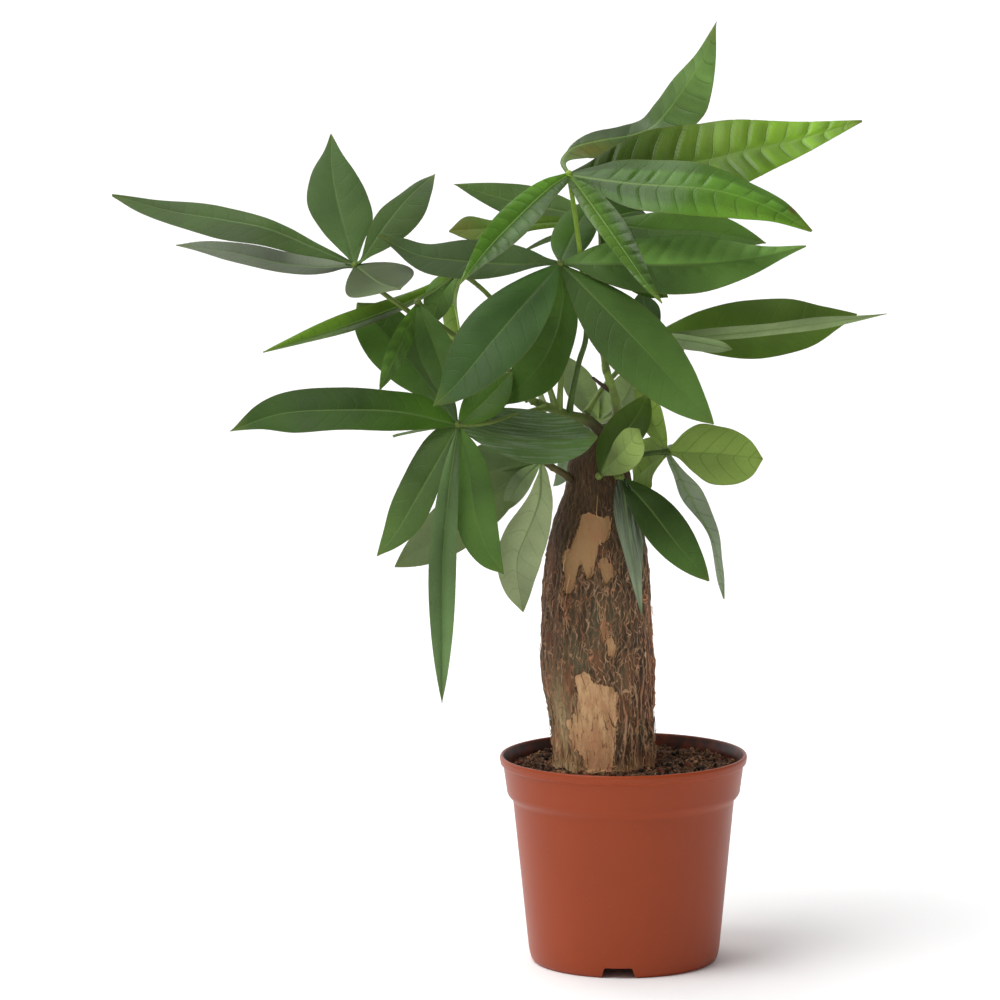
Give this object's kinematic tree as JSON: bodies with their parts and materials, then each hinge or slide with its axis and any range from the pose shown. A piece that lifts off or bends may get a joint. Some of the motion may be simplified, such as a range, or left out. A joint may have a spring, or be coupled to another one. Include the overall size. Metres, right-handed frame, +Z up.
{
  "type": "potted money tree",
  "caption": "Potted money tree: stout peeling trunk, young green shoots and hand-shaped leaves, standing in peat in a round terracotta-coloured plastic nursery pot.",
  "frame": {"origin": "middle of the pot's foot, on the surface it stands on", "axes": "+Z up along the pot's axis and the trunk; the picture's viewer looks along +Y, with +X to the right"},
  "size_m": [0.3703, 0.1953, 0.4535],
  "materials": {
    "pot_plastic": "satin moulded polypropylene, terracotta colour",
    "peat": "damp dark peat with fibres",
    "bark": "rough fissured bark with peeled tan patches",
    "shoot_skin": "smooth green young bark",
    "leaf_green": "satin leaf",
    "leaf_fresh": "glossy young leaf",
    "leaf_grey": "matte older leaf"
  },
  "bodies": {
    "root": {"pot": "pot_plastic", "soil": "peat", "trunk": "bark", "shoot_left": "shoot_skin", "shoot_main": "shoot_skin", "leaf_top": "leaf_fresh", "leaf_middle": "leaf_green", "leaf_back_top": "leaf_green", "leaf_left_high": "leaf_grey", "leaf_left_mid": "leaf_fresh", "leaf_left_inner": "leaf_green", "leaf_low": "leaf_green", "leaf_back_left": "leaf_green", "leaf_trunk_left": "leaf_grey", "leaf_right_high": "leaf_green", "leaf_right_low": "leaf_fresh", "leaf_front_low": "leaf_green", "leaf_front_small": "leaf_fresh", "leaf_back_low": "leaf_grey"}
  },
  "joints": []
}
